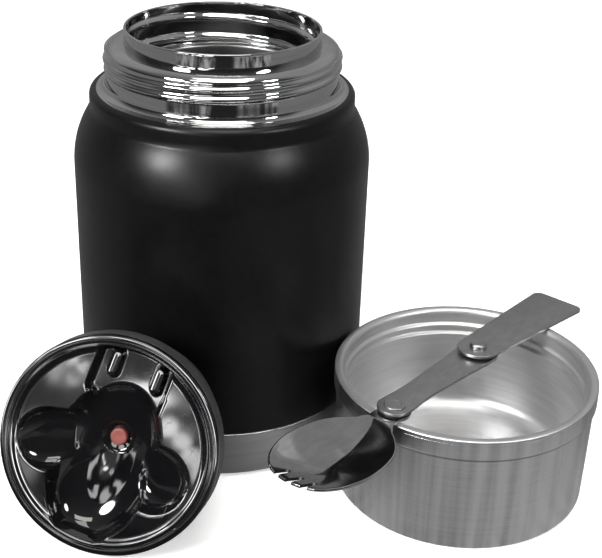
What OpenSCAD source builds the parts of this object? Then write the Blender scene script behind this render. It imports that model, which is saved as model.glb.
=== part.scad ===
// Insulated food jar with its screw-in stopper, its cup and a folding spork.
// Millimetres, +Z up. The origin is on the jar's axis at the table.

/* [Jar body] */
// Largest outside diameter of the jar's body
body_d = 100.5; // [92:0.5:112]
// Height from the table to the top of the lip
jar_h = 143.6; // [130:0.2:170]
// How much the body's radius narrows from the shoulder down to the foot
body_taper = 0.5; // [0:0.1:1.5]
// Height of the bare steel band at the foot
band_h = 17; // [13:0.5:24]
// Rounding of the foot's lower edge
foot_round = 2.4; // [1.5:0.1:3.5]
// Radius of the shoulder's curve
shoulder_round = 33; // [30:0.5:36]
// Distance from the top of the lip down to the top of the shoulder
shoulder_drop = 27; // [26:0.2:34]
// Sheet thickness of the jar's outer parts
shell_t = 0.8; // [0.5:0.1:1.2]
// Evacuated gap between the body's sheet and the liner
vacuum_gap = 2.2; // [1.8:0.1:3.5]

/* [Collar and neck] */
// Outside diameter of the straight collar above the shoulder
collar_d = 89; // [87:0.5:91]
// Rounding of the collar's top edge
collar_round = 2.2; // [1.5:0.1:2.6]
// Distance from the top of the lip down to the collar's top face
neck_h = 20.3; // [19.6:0.1:21]
// Outside diameter of the neck between its thread ridges
neck_d = 77.8; // [76.5:0.1:79]
// Fillet between the neck and its flange
neck_fillet = 2.4; // [1.5:0.1:2.8]
// Rounding of the neck's upper corner
neck_round = 2.6; // [1.5:0.1:3]
// Pitch of the two outer thread ridges
outer_pitch = 3.1; // [2.8:0.1:3.4]
// How far an outer thread ridge stands out
outer_ridge = 0.8; // [0.5:0.1:1]

/* [Liner] */
// Outside diameter of the lip
lip_d = 65.4; // [64:0.1:67]
// Height of the lip above the neck's top face
lip_h = 5.2; // [4.4:0.1:6]
// Wall of the liner
liner_t = 0.9; // [0.6:0.1:1.2]
// Distance from the top of the lip down to the stopper's seat
seat_drop = 15; // [14.5:0.1:15.6]
// Inside radius below the seat
seat_r = 29.4; // [28.6:0.1:30]
// Pitch of the two inner thread ridges
inner_pitch = 7; // [6:0.1:8]
// How far an inner thread ridge stands in
inner_ridge = 1.1; // [0.6:0.1:1.2]
// Height of the liner's underside above the table
liner_floor = 10; // [9.4:0.1:14]
// Rounding between the liner's wall and its floor
liner_round = 9; // [5:0.5:14]
// Degrees that the liner's shoulder turns inwards
liner_turn = 63.7; // [55:0.1:75]
// Height of the straight wall between the liner's shoulder and the seat
liner_throat = 2.1; // [1.5:0.1:4]

/* [Stopper] */
// Diameter of the stopper's flange
flange_d = 68.6; // [67.6:0.1:71]
// Thickness of the flange, from its face to its back
flange_t = 9; // [8.8:0.1:10]
// Thickness of the glossy cover at the flange's edge
cover_t = 2.2; // [1.8:0.1:2.6]
// Wall of the stopper's body
mould_t = 1.2; // [1:0.1:1.4]
// Wall of the glossy cover
cover_wall = 1.3; // [1:0.1:1.5]
// Width of the raised rim around the face
rim_w = 4; // [3:0.1:5]
// How far the face lies below the rim
face_drop = 1; // [0.6:0.1:1.4]
// Radius of the plug's wall
plug_r = 30; // [29.4:0.1:30.3]
// Length of the plug behind the flange
plug_len = 19.5; // [19:0.1:22]
// Radius of the plug's nose
nose_r = 28; // [27.6:0.1:28.6]
// Height of the nose's straight part
nose_h = 7; // [6.6:0.1:8]
// How far a ridge of the plug's thread stands out
plug_ridge = 0.9; // [0.5:0.1:1]
// How far the gasket stands out of the nose
gasket_out = 0.9; // [0.6:0.1:1]
// Turn of the spork's recess, clockwise from the top of the face
recess_turn = 17; // [0:1:45]
// Length of the oval recess
oval_len = 52; // [48:0.5:54]
// Width of the oval recess
oval_w = 33; // [30:0.5:36]
// Depth of the oval recess below the face
oval_depth = 9.6; // [8.6:0.1:10.4]
// Width of the square recess for the spork's joint
square_w = 25.4; // [22:0.2:27]
// Shift of the square recess to the left
square_shift = 1.4; // [0:0.1:2.5]
// Depth of the square recess below the rim
square_depth = 5.8; // [4.5:0.1:6.2]
// Radius of the pressure button
button_r = 2.75; // [2.2:0.05:3.4]
// Travel of the pressure button
button_travel = 1.5; // [0.8:0.1:2]
// Radius of the valve's stem
stem_r = 1.2; // [0.9:0.1:1.6]
// Wire of the valve's spring
spring_wire = 0.6; // [0.4:0.1:0.8]

/* [Cup] */
// Outside diameter of the cup's rim band
cup_d = 87.8; // [86.6:0.1:96]
// Height of the cup
cup_h = 41.7; // [38:0.1:60]
// Height of the band under the cup's rim
cup_band_h = 6.4; // [5:0.1:8]
// How far the cup's wall steps in below the band
cup_step = 0.7; // [0.3:0.1:1]
// How much the cup's radius narrows from the band down to the foot
cup_taper = 1; // [0:0.1:2]
// Rounding of the cup's lower edge
cup_round = 1.2; // [0.9:0.1:2.4]
// Sheet thickness of the cup
cup_t = 0.7; // [0.5:0.1:0.9]
// Width of the rolled rim, which spans the cup's two walls
cup_rim_w = 3.2; // [2.6:0.1:3.6]
// How far a ridge of the cup's thread stands in
cup_ridge = 1.2; // [0.8:0.1:1.4]

/* [Spork] */
// Sheet thickness of the spork
spork_t = 1; // [0.8:0.1:1.4]
// Length of the bowl
bowl_len = 44; // [40:0.5:48]
// Width of the bowl
bowl_w = 34; // [30:0.5:37]
// Depth of the bowl
bowl_depth = 7; // [5:0.1:9]
// Distance from the bowl's rivet to the edge of the bowl
bowl_reach = 8; // [7:0.1:10]
// Radius of the round tab at the bowl's rivet
tab_r = 5.4; // [5:0.1:6.4]
// Distance between the two rivets
link_pitch = 48.8; // [44:0.2:53]
// Radius of the middle link's end at the bowl's rivet
link_r1 = 5.6; // [5.2:0.1:6.4]
// Half width of the middle link's waist
link_waist = 4.6; // [4:0.1:5.2]
// Distance from the bowl's rivet to the middle link's waist
waist_x = 14; // [10:0.5:20]
// Half width of the middle link at its outer rivet
link_r2 = 7; // [6.5:0.1:8]
// Distance from the outer rivet to the handle's tip
end_len = 54.4; // [49:0.2:58]
// Half width of the handle's tip
end_half_w = 9.9; // [8.5:0.1:10.5]
// Radius of the rivets' shanks
rivet_r = 1.9; // [1.5:0.1:2.4]
// Thickness of the spacing washers
washer_t = 0.8; // [0.8:0.1:1.4]
// Radius of the spacing washers
washer_r = 4.6; // [4:0.1:5.2]
// Depth of the gaps between the spork's teeth
tooth_len = 5; // [3:0.5:7]

/* [Places] */
// Direction from the jar to the stopper, clockwise from straight ahead
stopper_dir = 22.8; // [10:0.5:60]
// Clear distance between the stopper's nose and the jar
stopper_gap = 3.6; // [2:0.2:30]
// Turn of the stopper's face, clockwise from straight ahead
stopper_turn = 14; // [-20:1:40]
// Direction from the jar to the cup, clockwise from the +X axis
cup_dir = 31.1; // [10:0.5:50]
// Direction of the spork's handle over the cup, from the +X axis
spork_dir = 47.5; // [35:0.5:60]
// Distance from the middle of the cup's rim in to the bowl's rivet
spork_in = 3.4; // [2.6:0.1:5]
// Shift of the spork to the left of the cup's axis
spork_side = 2; // [0:0.1:4]
// Bend at the bowl's rivet
bowl_bend = 0.5; // [-10:0.5:10]
// Bend at the outer rivet
end_bend = 2.2; // [-6:0.2:10]

/* [Fits] */
// Gap between the cup and the jar, and between the spork and the cup
rest_gap = 0.3; // [0.2:0.05:0.5]
// Radial clearance of a running fit
run_gap = 0.06; // [0.03:0.01:0.1]
// Clearance between faces that slide on each other
face_gap = 0.1; // [0.05:0.01:0.2]

/* [Hidden] */
$fn = 96;
arc_n = 10;            // straight pieces in a drawn curve
big = 400;             // larger than the object

// Jar
body_r = body_d / 2;
foot_r = body_r - body_taper;
collar_r = collar_d / 2;
neck_r = neck_d / 2;
lip_r = lip_d / 2;
shoulder_in = body_r - collar_r;
shoulder_z = jar_h - shoulder_drop - sqrt(2 * shoulder_round * shoulder_in - shoulder_in ^ 2);
collar_z = jar_h - neck_h;
neck_top = jar_h - lip_h;
shoulder_c = [body_r - shoulder_round, shoulder_z];
liner_r = foot_r - shell_t - vacuum_gap;
seat_z = jar_h - seat_drop;
seat_h = 2;
throat_r = seat_r + liner_t;
liner_arc = (liner_r - throat_r) / (1 - cos(liner_turn));
liner_c = [liner_r - liner_arc, seat_z - seat_h - liner_throat - liner_arc * sin(liner_turn)];
lip_in = lip_r - liner_t;
inner_z = jar_h - lip_h + 0.2;
outer_z = neck_top - neck_round - 0.9;
floor_gap = 3;         // between the vessel's floor and the jar's base
floor_flange = 4;
dimple_r = 1.5;
bead_r = 3.2;
getter_r = 5;
getter_h = 1.5;

// Stopper, in its own frame: +Z out of the face, +Y up the face, rim at z = 0
flange_r = flange_d / 2;
nose_z = -flange_t - plug_len;
stopper_tilt = atan((flange_r - nose_r) / plug_len);
stopper_reach = body_r + stopper_gap + nose_r * sin(stopper_tilt) - nose_z * cos(stopper_tilt);
face_z = -face_drop;
skirt_in = flange_r - mould_t;
plug_in = plug_r - mould_t;
nose_in = nose_r - mould_t - 1;
cover_clear = 0.2;
cover_in = skirt_in - cover_clear;
recess_r = cover_in - cover_wall;
gasket_h = 2.4;
gasket_up = 3.4;
gasket_z = nose_z + gasket_up;
gasket_deep = 1;
cone_h = 2;
floor_up = 0.8;
floor_z = nose_z + floor_up;
oval_over = 0.6;
oval_shift = oval_len / 2 - recess_r - oval_over;
square_from = 12;
square_round = 3;
cut_over = 1;          // how far a cut runs on above the face
post_r = 1.7;
post_low = 1;
post_len = 9;
post_q = 7.2;
post_in = 7.4;
post_p = recess_r - post_in;
lobe_r = 6.6;
lobe_up = 0.6;
lobe_in = 1.4;
left_lobe = [lobe_in - plug_in, lobe_up];
left_lobe_turn = 8;
right_lobe_r = 10.4;
right_lobe_turn = 30.5;
right_lobe = (plug_in - lobe_in - right_lobe_r) * [cos(right_lobe_turn), -sin(right_lobe_turn)];
lobe_depth = 7.6;
dimple_in_r = 6.4;
button_well = 1;
cover_floor = face_z - oval_depth - button_well;
button_out = 0.7;
button_top = cover_floor + button_out;
shoulder_w = 1.4;
shoulder_r = button_r + shoulder_w;
shoulder_t = 0.8;
button_low = cover_floor - cover_wall - face_gap - shoulder_t;
guide_r = stem_r + 1.2;
spring_turns = 4;
spring_spare = 1.7;
guide_top = button_low - button_travel - (spring_turns + 1) * spring_wire - spring_spare;
spring_r = stem_r + run_gap + 0.4 + spring_wire / 2;
seal_r = 5;
seal_t = 1;
seal_low = floor_z - face_gap - seal_t;

// Cup
cup_r = cup_d / 2;
cup_dist = body_r + cup_r + rest_gap;
cup_band_z = cup_h - cup_band_h;
cup_wall_r = cup_r - cup_step;
cup_foot_r = cup_wall_r - cup_taper;
cup_in_r = cup_r - cup_rim_w;
cup_in_foot = cup_in_r - cup_taper - 0.4;
cup_rim_r = cup_r - cup_rim_w / 2;
cup_rim_h = cup_rim_w / 2;
cup_floor_z = 3;
cup_in_round = 5;
cup_thread_drop = 7.8;
cup_thread_z = cup_h - cup_thread_drop;
cup_pitch = 3.4;

// Spork, in its own frame: +X along the handle, the tab's underside at z = 0
mid_z = spork_t + washer_t + face_gap;
end_z = mid_z + spork_t + washer_t + face_gap;
spork_tilt = atan(end_z / (2 * cup_rim_r));
spork_back = cup_rim_r - spork_in;
near_x = -spork_in;
bore_r = rivet_r + run_gap;
neck_w = 9.6;
tooth_gap = 2;
tooth_pitch = 4.9;
tip_round = 3;
head_r = 2.9;
head_h = 1.7;
low_head_r = 3.6;
low_head_h = washer_t - 0.3;

// ---- outlines ----
function arc(c, r, a0, a1, n = arc_n) =
    [for (i = [0:n]) c + r * [cos(a0 + (a1 - a0) * i / n), sin(a0 + (a1 - a0) * i / n)]];
function flip(v) = [for (i = [len(v) - 1:-1:0]) v[i]];
// A smooth ridge of height h and width w at height z on a wall of radius r
function ridge(r, h, z, w, n = arc_n) =
    [for (i = [0:n]) [r + h * (1 - cos(360 * i / n)) / 2, z - w / 2 + w * i / n]];

module ring_of(outer, inner) {
    rotate_extrude() polygon(concat(outer, flip(inner)));
}
module tube_of(r_out, r_in, z0, z1) {
    translate([0, 0, z0]) difference() {
        cylinder(r = r_out, h = z1 - z0);
        translate([0, 0, -1]) cylinder(r = r_in, h = z1 - z0 + 2);
    }
}
// Slot of half width r and length len along Y, from z0 to z1
module slot(r, len, z0, z1) {
    translate([0, 0, z0]) {
        for (s = [-1, 1]) translate([0, s * (len / 2 - r), 0]) cylinder(r = r, h = z1 - z0);
        translate([-r, r - len / 2, 0]) cube([2 * r, len - 2 * r, z1 - z0]);
    }
}
// Block with round upright corners
module round_block(w, l, r, z0, z1) {
    translate([0, 0, z0]) {
        for (x = [-1, 1], y = [-1, 1]) translate([x * (w / 2 - r), y * (l / 2 - r), 0])
            cylinder(r = r, h = z1 - z0);
        translate([-w / 2, r - l / 2, 0]) cube([w, l - 2 * r, z1 - z0]);
        translate([r - w / 2, -l / 2, 0]) cube([w - 2 * r, l, z1 - z0]);
    }
}
// Oval bowl-shaped solid, len along X and w along Y at z = 0, d deep, cut off at z = top
module oval_bowl(len, w, d, top = 0) {
    r_long = (len * len / 4 + d * d) / (2 * d);
    r_wide = (w * w / 4 + d * d) / (2 * d);
    reach = w / 2 + 3;
    intersection() {
        translate([0, 0, r_long - d]) rotate([90, 0, 0]) rotate_extrude()
            intersection() {
                translate([r_long - r_wide, 0]) circle(r = r_wide);
                translate([0, -reach]) square([big, 2 * reach]);
            }
        translate([-big / 2, -big / 2, -2 * d]) cube([big, big, 2 * d + top]);
    }
}

// ---- places ----
module at_stopper() {
    translate([-stopper_reach * sin(stopper_dir), -stopper_reach * cos(stopper_dir),
        flange_t * sin(stopper_tilt) + flange_r * cos(stopper_tilt)])
        rotate([90 - stopper_tilt, 0, -stopper_turn]) children();
}
module at_recess() {
    rotate([0, 0, -recess_turn]) children();
}
module at_cup() {
    translate([cup_dist * cos(cup_dir), -cup_dist * sin(cup_dir), 0]) children();
}
module at_spork() {
    at_cup() rotate([0, 0, spork_dir])
        translate([-spork_back, spork_side, cup_h + rest_gap + near_x * sin(spork_tilt)])
        rotate([0, spork_tilt, 0]) children();
}
module at_bowl() {
    at_spork() rotate([0, 0, bowl_bend]) children();
}
module at_handle() {
    at_spork() translate([link_pitch, 0, 0]) rotate([0, 0, -end_bend]) children();
}

// ---- jar ----
function shell_line(t) = concat(
    [[foot_r - t, band_h]],
    arc(shoulder_c, shoulder_round - t, 0,
        acos((collar_r - t - shoulder_c.x) / (shoulder_round - t))),
    arc([collar_r - collar_round, collar_z - collar_round], collar_round - t, 0, 90));

module outer_shell() {
    color([0.07, 0.07, 0.075]) ring_of(shell_line(0), shell_line(shell_t));
}

function neck_line(t) = concat(
    [[collar_r - collar_round, collar_z - t]],
    arc([neck_r + neck_fillet, collar_z + neck_fillet], neck_fillet + t, 270, 180),
    ridge(neck_r - t, outer_ridge, outer_z - outer_pitch, outer_pitch),
    ridge(neck_r - t, outer_ridge, outer_z, outer_pitch),
    arc([neck_r - neck_round, neck_top - neck_round], neck_round - t, 0, 90),
    [[lip_r, neck_top - t]]);

module neck_ring() {
    color([0.78, 0.78, 0.8]) ring_of(neck_line(0), neck_line(shell_t));
}

function liner_line(t) = concat(
    [[0, liner_floor + t]],
    arc([liner_r - liner_round, liner_floor + liner_round], liner_round - t, 270, 360),
    arc(liner_c, liner_arc - t, 0,
        acos((throat_r - t - liner_c.x) / (liner_arc - t)), 2 * arc_n),
    [[throat_r - t, seat_z - seat_h], [lip_r - t, seat_z]]);

module liner() {
    color([0.62, 0.62, 0.64]) ring_of(
        concat(liner_line(0), arc([lip_r - liner_t / 2, jar_h - liner_t / 2], liner_t / 2, 0, 90)),
        concat(liner_line(liner_t),
            ridge(lip_in, -inner_ridge, inner_z - inner_pitch, inner_pitch / 2),
            ridge(lip_in, -inner_ridge, inner_z, inner_pitch / 2),
            arc([lip_r - liner_t / 2, jar_h - liner_t / 2], liner_t / 2, 180, 90)));
}

module base_cap() {
    color([0.6, 0.6, 0.61]) ring_of(
        concat([[0, 0]], arc([foot_r - foot_round, foot_round], foot_round, 270, 360),
            [[foot_r, band_h]]),
        concat([[0, shell_t]],
            arc([foot_r - foot_round, foot_round], foot_round - shell_t, 270, 360),
            [[foot_r - shell_t, band_h]]));
}

module shell_floor() {
    z = shell_t + floor_gap;
    color([0.66, 0.66, 0.68]) difference() {
        union() {
            translate([0, 0, z]) cylinder(r = foot_r - shell_t, h = shell_t);
            tube_of(foot_r - shell_t, foot_r - 2 * shell_t, z, z + floor_flange);
        }
        translate([0, 0, z - 1]) cylinder(r = dimple_r, h = shell_t + 2);
    }
}

module vacuum_plug() {
    z = shell_t + floor_gap;
    color([0.45, 0.46, 0.48]) union() {
        translate([0, 0, z - 0.8]) cylinder(r = bead_r, h = 0.8);
        translate([0, 0, z]) cylinder(r = dimple_r, h = shell_t);
    }
}

module getter() {
    color([0.35, 0.35, 0.37]) translate([0, 0, liner_floor - getter_h])
        cylinder(r = getter_r, h = getter_h);
}

// ---- stopper ----
plug_line = concat(
    [[nose_in, nose_z], [nose_r, nose_z], [nose_r, gasket_z],
        [nose_r - gasket_deep, gasket_z], [nose_r - gasket_deep, gasket_z + gasket_h],
        [nose_r, gasket_z + gasket_h], [nose_r, nose_z + nose_h],
        [plug_r, nose_z + nose_h + cone_h]],
    ridge(plug_r, plug_ridge, nose_z + nose_h + cone_h + inner_pitch / 4, inner_pitch / 2),
    ridge(plug_r, plug_ridge, -flange_t - inner_pitch / 4, inner_pitch / 2),
    [[flange_r, -flange_t], [flange_r, -cover_t], [skirt_in, -cover_t],
        [skirt_in, mould_t - flange_t], [plug_in, mould_t - flange_t],
        [plug_in, nose_z + nose_h + cone_h], [nose_in, nose_z + nose_h]]);

module stopper_body() {
    color([0.06, 0.06, 0.065]) at_stopper() rotate_extrude() polygon(plug_line);
}

// The spork's recess, its finger lobes and the button's dimple, grown by g
module recesses(g) {
    intersection() {
        union() {
            at_recess() {
                translate([0, oval_shift, face_z]) rotate([0, 0, 90])
                    oval_bowl(oval_len + 2 * g, oval_w + 2 * g, oval_depth + g, face_drop + cut_over);
                translate([-square_shift, (square_from + flange_r) / 2, 0])
                    round_block(square_w + 2 * g, flange_r - square_from + 2 * g, square_round + g,
                        -square_depth - g, cut_over);
            }
            translate([left_lobe.x, left_lobe.y, face_z]) rotate([0, 90, -left_lobe_turn])
                translate([0, 0, -g]) cylinder(r = lobe_r + g, h = -left_lobe.x);
            translate([right_lobe.x, right_lobe.y, face_z - lobe_depth - g])
                cylinder(r = right_lobe_r + g, h = lobe_depth + g + face_drop + cut_over);
            translate([0, 0, cover_floor - g]) cylinder(r = dimple_in_r + g, h = -cover_floor);
        }
        translate([0, 0, -big / 2]) cylinder(r = recess_r + g, h = big);
    }
}

module stopper_cover() {
    color([0.04, 0.04, 0.045]) at_stopper() {
        difference() {
            union() {
                tube_of(flange_r, flange_r - rim_w, -cover_t, 0);
                translate([0, 0, face_z - cover_wall]) cylinder(r = cover_in, h = cover_wall);
                intersection() {
                    recesses(cover_wall);
                    union() {
                        translate([0, 0, mould_t - flange_t + 0.1])
                            cylinder(r = cover_in, h = flange_t - mould_t - 0.1 + face_z);
                        translate([0, 0, nose_z])
                            cylinder(r = plug_in - 0.1, h = face_z - nose_z);
                    }
                }
            }
            recesses(0);
            translate([0, 0, -big / 2]) cylinder(r = button_r + run_gap, h = big);
        }
        at_recess() for (s = [-1, 1]) translate([s * post_q, post_p, 0])
            slot(post_r, post_len, -square_depth - cover_wall / 2, -face_drop - post_low);
    }
}

module plug_floor() {
    color([0.1, 0.1, 0.105]) at_stopper() difference() {
        union() {
            translate([0, 0, floor_z]) cylinder(r = nose_in, h = mould_t);
            translate([0, 0, floor_z]) cylinder(r = guide_r, h = guide_top - floor_z);
        }
        translate([0, 0, nose_z - 1]) cylinder(r = stem_r + run_gap, h = plug_len);
    }
}

module plug_insulation() {
    color([0.85, 0.85, 0.82]) at_stopper()
        tube_of(nose_in, guide_r + 2.5, floor_z + mould_t, nose_z + nose_h);
}

module stopper_gasket() {
    color([0.5, 0.5, 0.52]) at_stopper()
        tube_of(nose_r + gasket_out, nose_r - gasket_deep, gasket_z, gasket_z + gasket_h);
}

spring_low = guide_top + spring_wire / 2 + 0.02;
spring_high = button_low - spring_wire / 2 - 0.02;
spring_steps = 12 * spring_turns;
spring_sides = 6;
function spring_point(i, j) =
    let (a = 360 * i / 12, b = 360 * j / spring_sides, r = spring_r + cos(b) * spring_wire / 2)
    [r * cos(a), r * sin(a),
        spring_low + (spring_high - spring_low) * i / spring_steps + sin(b) * spring_wire / 2];

module valve_spring() {
    n = spring_sides;
    points = [for (i = [0:spring_steps], j = [0:n - 1]) spring_point(i, j)];
    sides = [for (i = [0:spring_steps - 1], j = [0:n - 1])
        [i * n + j, i * n + (j + 1) % n, (i + 1) * n + (j + 1) % n, (i + 1) * n + j]];
    ends = [[for (j = [n - 1:-1:0]) j], [for (j = [0:n - 1]) spring_steps * n + j]];
    color([0.7, 0.7, 0.72]) at_stopper() polyhedron(points, concat(sides, ends));
}

module pressure_button() {
    color([0.72, 0.12, 0.1]) at_stopper() {
        translate([0, 0, button_low]) cylinder(r = shoulder_r, h = shoulder_t);
        translate([0, 0, button_low]) cylinder(r = button_r, h = button_top - button_low);
    }
}

module valve_stem() {
    color([0.72, 0.72, 0.74]) at_stopper() translate([0, 0, seal_low])
        cylinder(r = stem_r, h = button_low - seal_low);
}

module valve_seal() {
    color([0.5, 0.5, 0.52]) at_stopper() difference() {
        translate([0, 0, seal_low]) cylinder(r = seal_r, h = seal_t);
        translate([0, 0, seal_low - 1]) cylinder(r = stem_r, h = seal_t + 2);
    }
}

// ---- cup ----
module cup_outer() {
    color([0.66, 0.66, 0.67]) at_cup() ring_of(
        concat([[0, 0]], arc([cup_foot_r - cup_round, cup_round], cup_round, 270, 360),
            [[cup_wall_r, cup_band_z - cup_step], [cup_r, cup_band_z],
                [cup_r, cup_h - cup_rim_h]]),
        concat([[0, cup_t]],
            arc([cup_foot_r - cup_round, cup_round], cup_round - cup_t, 270, 360),
            [[cup_wall_r - cup_t, cup_band_z - cup_step], [cup_r - cup_t, cup_band_z],
                [cup_r - cup_t, cup_h - cup_rim_h]]));
}

function cup_line(t) = concat(
    [[0, cup_floor_z - t]],
    arc([cup_in_foot - cup_in_round, cup_floor_z + cup_in_round], cup_in_round + t, 270, 360),
    [[cup_in_r + t, cup_thread_z - cup_pitch * 1.6]],
    ridge(cup_in_r + t, -cup_ridge, cup_thread_z - cup_pitch, cup_pitch * 0.8),
    ridge(cup_in_r + t, -cup_ridge, cup_thread_z, cup_pitch * 0.8));

module cup_inner() {
    color([0.72, 0.72, 0.73]) at_cup() ring_of(
        concat(cup_line(cup_t), [[cup_in_r + cup_t, cup_h - cup_rim_h], [cup_r, cup_h - cup_rim_h]],
            arc([cup_rim_r, cup_h - cup_rim_h], cup_rim_h, 0, 90)),
        concat(cup_line(0), [[cup_in_r, cup_h - cup_rim_h]],
            arc([cup_rim_r, cup_h - cup_rim_h], cup_rim_h, 180, 90)));
}

// ---- spork ----
module bore(r, z0, z1) {
    translate([0, 0, z0 - 1]) cylinder(r = r, h = z1 - z0 + 2);
}

module spork_bowl() {
    mid_x = -bowl_reach - bowl_len / 2;
    color([0.74, 0.74, 0.76]) at_bowl() difference() {
        union() {
            cylinder(r = tab_r, h = spork_t);
            translate([-bowl_reach - 3, -neck_w / 2, 0]) cube([bowl_reach + 3, neck_w, spork_t]);
            translate([mid_x, 0, spork_t])
                oval_bowl(bowl_len + 2 * spork_t, bowl_w + 2 * spork_t, bowl_depth + spork_t);
        }
        translate([mid_x, 0, spork_t]) oval_bowl(bowl_len, bowl_w, bowl_depth);
        bore(rivet_r, 0, spork_t);
        for (i = [-1:1]) translate([-bowl_reach - bowl_len - spork_t + tooth_len,
            i * tooth_pitch, -bowl_depth]) {
            cylinder(r = tooth_gap / 2, h = 2 * bowl_depth);
            translate([-big, -tooth_gap / 2, 0]) cube([big, tooth_gap, 2 * bowl_depth]);
        }
    }
}

module bowl_rivet() {
    top = mid_z + spork_t + face_gap;
    color([0.7, 0.7, 0.72]) at_spork() {
        cylinder(r = rivet_r, h = top);
        translate([0, 0, top]) cylinder(r1 = low_head_r, r2 = low_head_r - 0.4, h = low_head_h);
    }
}

module bowl_washer() {
    color([0.3, 0.3, 0.31]) at_spork() tube_of(washer_r, rivet_r, spork_t, spork_t + washer_t);
}

module middle_link() {
    color([0.74, 0.74, 0.76]) at_spork() translate([0, 0, mid_z]) difference() {
        union() {
            cylinder(r = link_r1, h = spork_t);
            translate([link_pitch, 0, 0]) cylinder(r = link_r2, h = spork_t);
            linear_extrude(height = spork_t) polygon([
                [0, -link_r1], [waist_x, -link_waist], [link_pitch, -link_r2],
                [link_pitch, link_r2], [waist_x, link_waist], [0, link_r1]]);
        }
        bore(bore_r, 0, spork_t);
        translate([link_pitch, 0, 0]) bore(rivet_r, 0, spork_t);
    }
}

module middle_rivet() {
    top = end_z + spork_t + face_gap;
    color([0.7, 0.7, 0.72]) at_handle() {
        translate([0, 0, mid_z]) cylinder(r = rivet_r, h = top - mid_z);
        translate([0, 0, top]) rotate_extrude() polygon(concat(
            [[0, 0], [head_r, 0]], arc([head_r - 1, head_h - 1], 1, 0, 90), [[0, head_h]]));
    }
}

module middle_washer() {
    color([0.3, 0.3, 0.31]) at_handle()
        tube_of(washer_r, rivet_r, mid_z + spork_t, mid_z + spork_t + washer_t);
}

module end_link() {
    color([0.74, 0.74, 0.76]) at_handle() translate([0, 0, end_z]) difference() {
        union() {
            cylinder(r = link_r2, h = spork_t);
            linear_extrude(height = spork_t) polygon([
                [0, -link_r2], [end_len - tip_round, -end_half_w],
                [end_len - tip_round, end_half_w], [0, link_r2]]);
            translate([end_len - tip_round, tip_round - end_half_w, 0])
                cube([tip_round, 2 * (end_half_w - tip_round), spork_t]);
            for (s = [-1, 1]) translate([end_len - tip_round, s * (end_half_w - tip_round), 0])
                cylinder(r = tip_round, h = spork_t);
        }
        bore(bore_r, 0, spork_t);
    }
}

outer_shell();
neck_ring();
liner();
base_cap();
shell_floor();
vacuum_plug();
getter();
stopper_body();
stopper_cover();
plug_floor();
plug_insulation();
stopper_gasket();
valve_spring();
pressure_button();
valve_stem();
valve_seal();
cup_outer();
cup_inner();
spork_bowl();
bowl_rivet();
bowl_washer();
middle_link();
middle_rivet();
middle_washer();
end_link();
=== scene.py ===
# %% [markdown]
# # A food jar with its stopper, its cup and a folding spork
# The metal and plastic solids come in as a fixed frame. This lesson dresses them:
# it turns smooth metal walls with rolled threads, moulds the glossy stopper face,
# and gives each finish a material that is made of nodes alone.

# %% Load the frame
import math

import bpy
from mathutils import Matrix, Vector


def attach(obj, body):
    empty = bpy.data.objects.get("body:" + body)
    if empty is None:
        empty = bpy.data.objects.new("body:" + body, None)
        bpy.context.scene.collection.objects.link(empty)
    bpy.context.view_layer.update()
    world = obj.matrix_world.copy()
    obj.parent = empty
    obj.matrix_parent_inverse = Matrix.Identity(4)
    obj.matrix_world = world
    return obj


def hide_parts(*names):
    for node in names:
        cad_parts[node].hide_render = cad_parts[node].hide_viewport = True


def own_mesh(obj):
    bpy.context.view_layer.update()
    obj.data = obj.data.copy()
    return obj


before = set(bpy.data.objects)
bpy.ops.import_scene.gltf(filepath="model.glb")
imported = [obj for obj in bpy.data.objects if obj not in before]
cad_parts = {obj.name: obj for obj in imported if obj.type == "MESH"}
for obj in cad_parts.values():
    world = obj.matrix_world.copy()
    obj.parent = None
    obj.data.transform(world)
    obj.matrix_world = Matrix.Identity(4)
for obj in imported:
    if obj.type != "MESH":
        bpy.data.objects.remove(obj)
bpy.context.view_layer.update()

MM = 0.001

# %% [markdown]
# The pieces stand in three places of their own. The jar turns about the z axis. The
# cup and the spork stand beside it, and the stopper leans with its face forwards.
# Each piece is modelled upright at the origin, where it is easy to shape, and is
# then carried to its place by one of these matrices.

# %% Places of the cup, the spork and the stopper
def turn(degrees, axis="Z"):
    return Matrix.Rotation(math.radians(degrees), 4, axis)


def shift(x, y, z):
    return Matrix.Translation((x * MM, y * MM, z * MM))


CUP = shift(80.870, -48.790, 0)
CUP_RIM_REACH, HANDLE_TOP = 42.3, 3.8
SPORK_TILT = math.atan(HANDLE_TOP / (2 * CUP_RIM_REACH))
SPORK = (CUP @ turn(47.5) @ shift(-38.9, 2, 42.0 - 3.4 * math.sin(SPORK_TILT))
         @ turn(math.degrees(SPORK_TILT), "Y"))
HANDLE = SPORK @ shift(48.8, 0, 0) @ turn(-2.2)

BODY_R, FLANGE_R, FLANGE_T, NOSE_R, PLUG_END = 50.25, 34.3, 9, 28, 28.5
STOPPER_TILT = math.atan((FLANGE_R - NOSE_R) / (PLUG_END - FLANGE_T))
STOPPER_SIDE = math.radians(22.8)
STOPPER_REACH = BODY_R + 3.6 + NOSE_R * math.sin(STOPPER_TILT) + PLUG_END * math.cos(STOPPER_TILT)
STOPPER = (shift(-STOPPER_REACH * math.sin(STOPPER_SIDE), -STOPPER_REACH * math.cos(STOPPER_SIDE),
                 FLANGE_T * math.sin(STOPPER_TILT) + FLANGE_R * math.cos(STOPPER_TILT))
           @ turn(-14) @ turn(90 - math.degrees(STOPPER_TILT), "X"))
RECESS_TURN = 17
BOWL_MIDDLE = -30
bowl_centre = SPORK @ Vector((BOWL_MIDDLE * MM, 0, 0))
print("spork pivot", SPORK.translation, "stopper face", STOPPER.translation)

# %% [markdown]
# The camera stands a little above the jar and looks down on it. Its direction is
# built from three angles, and its lens from the width of the picture, so that the
# picture is framed in the same way however large it is rendered.

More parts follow.
